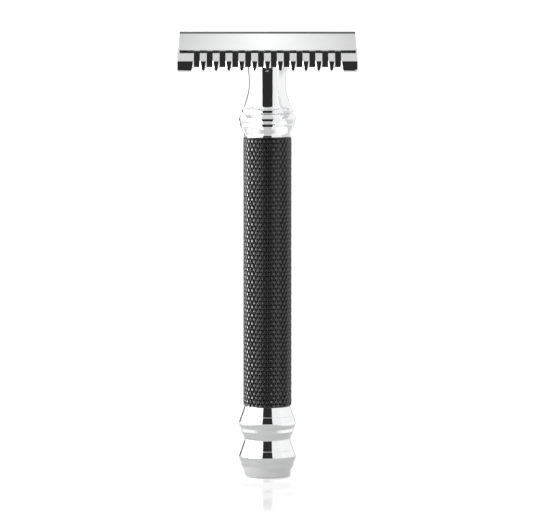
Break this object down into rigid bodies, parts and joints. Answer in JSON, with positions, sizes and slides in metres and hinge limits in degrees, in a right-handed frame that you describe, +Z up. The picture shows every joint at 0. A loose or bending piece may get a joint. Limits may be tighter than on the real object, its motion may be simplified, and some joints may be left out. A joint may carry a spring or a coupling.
{
  "type": "double-edge safety razor",
  "caption": "Open-comb safety razor: cap and comb plate clamped by turning a black knurled handle with a chrome neck and pommel.",
  "frame": {"origin": "centre of the flat underside of the pommel, on the surface that the razor stands on", "axes": "+Z up the handle to the cap, +X along the head's long side, -Y and +Y towards the two cutting edges"},
  "size_m": [0.043, 0.0242, 0.1078],
  "materials": {
    "chrome_plate": "polished chrome plating",
    "black_coat": "satin black coating over diamond knurling",
    "brass": "machined brass, threaded",
    "steel": "turned steel, threaded ends",
    "seal_rubber": "black rubber ring"
  },
  "bodies": {
    "handle": {"pommel": "chrome_plate", "pommel_seal_ring": "seal_rubber", "knurled_sleeve": "black_coat", "tie_rod": "steel", "neck_seal_ring": "seal_rubber", "neck_ferrule": "chrome_plate", "neck": "chrome_plate", "threaded_bush": "brass"},
    "comb": {"comb_plate": "chrome_plate"},
    "cap": {"cap": "chrome_plate", "cap_stud": "chrome_plate", "locating_pin_left": "chrome_plate", "locating_pin_right": "chrome_plate"}
  },
  "joints": [
    {"name": "head_turn", "type": "hinge", "parent": "handle", "child": "comb", "pos_m": [0, 0, 0.0994], "axis": [0, 0, 1], "range_deg": [0, 2160]},
    {"name": "cap_lift", "type": "slide", "parent": "comb", "child": "cap", "axis": [0, 0, 1], "range_m": [0, 0.0048]}
  ],
  "couplings": [
    {"joint": "cap_lift", "follows": "head_turn", "m_per_rad": 0.00012732}
  ]
}
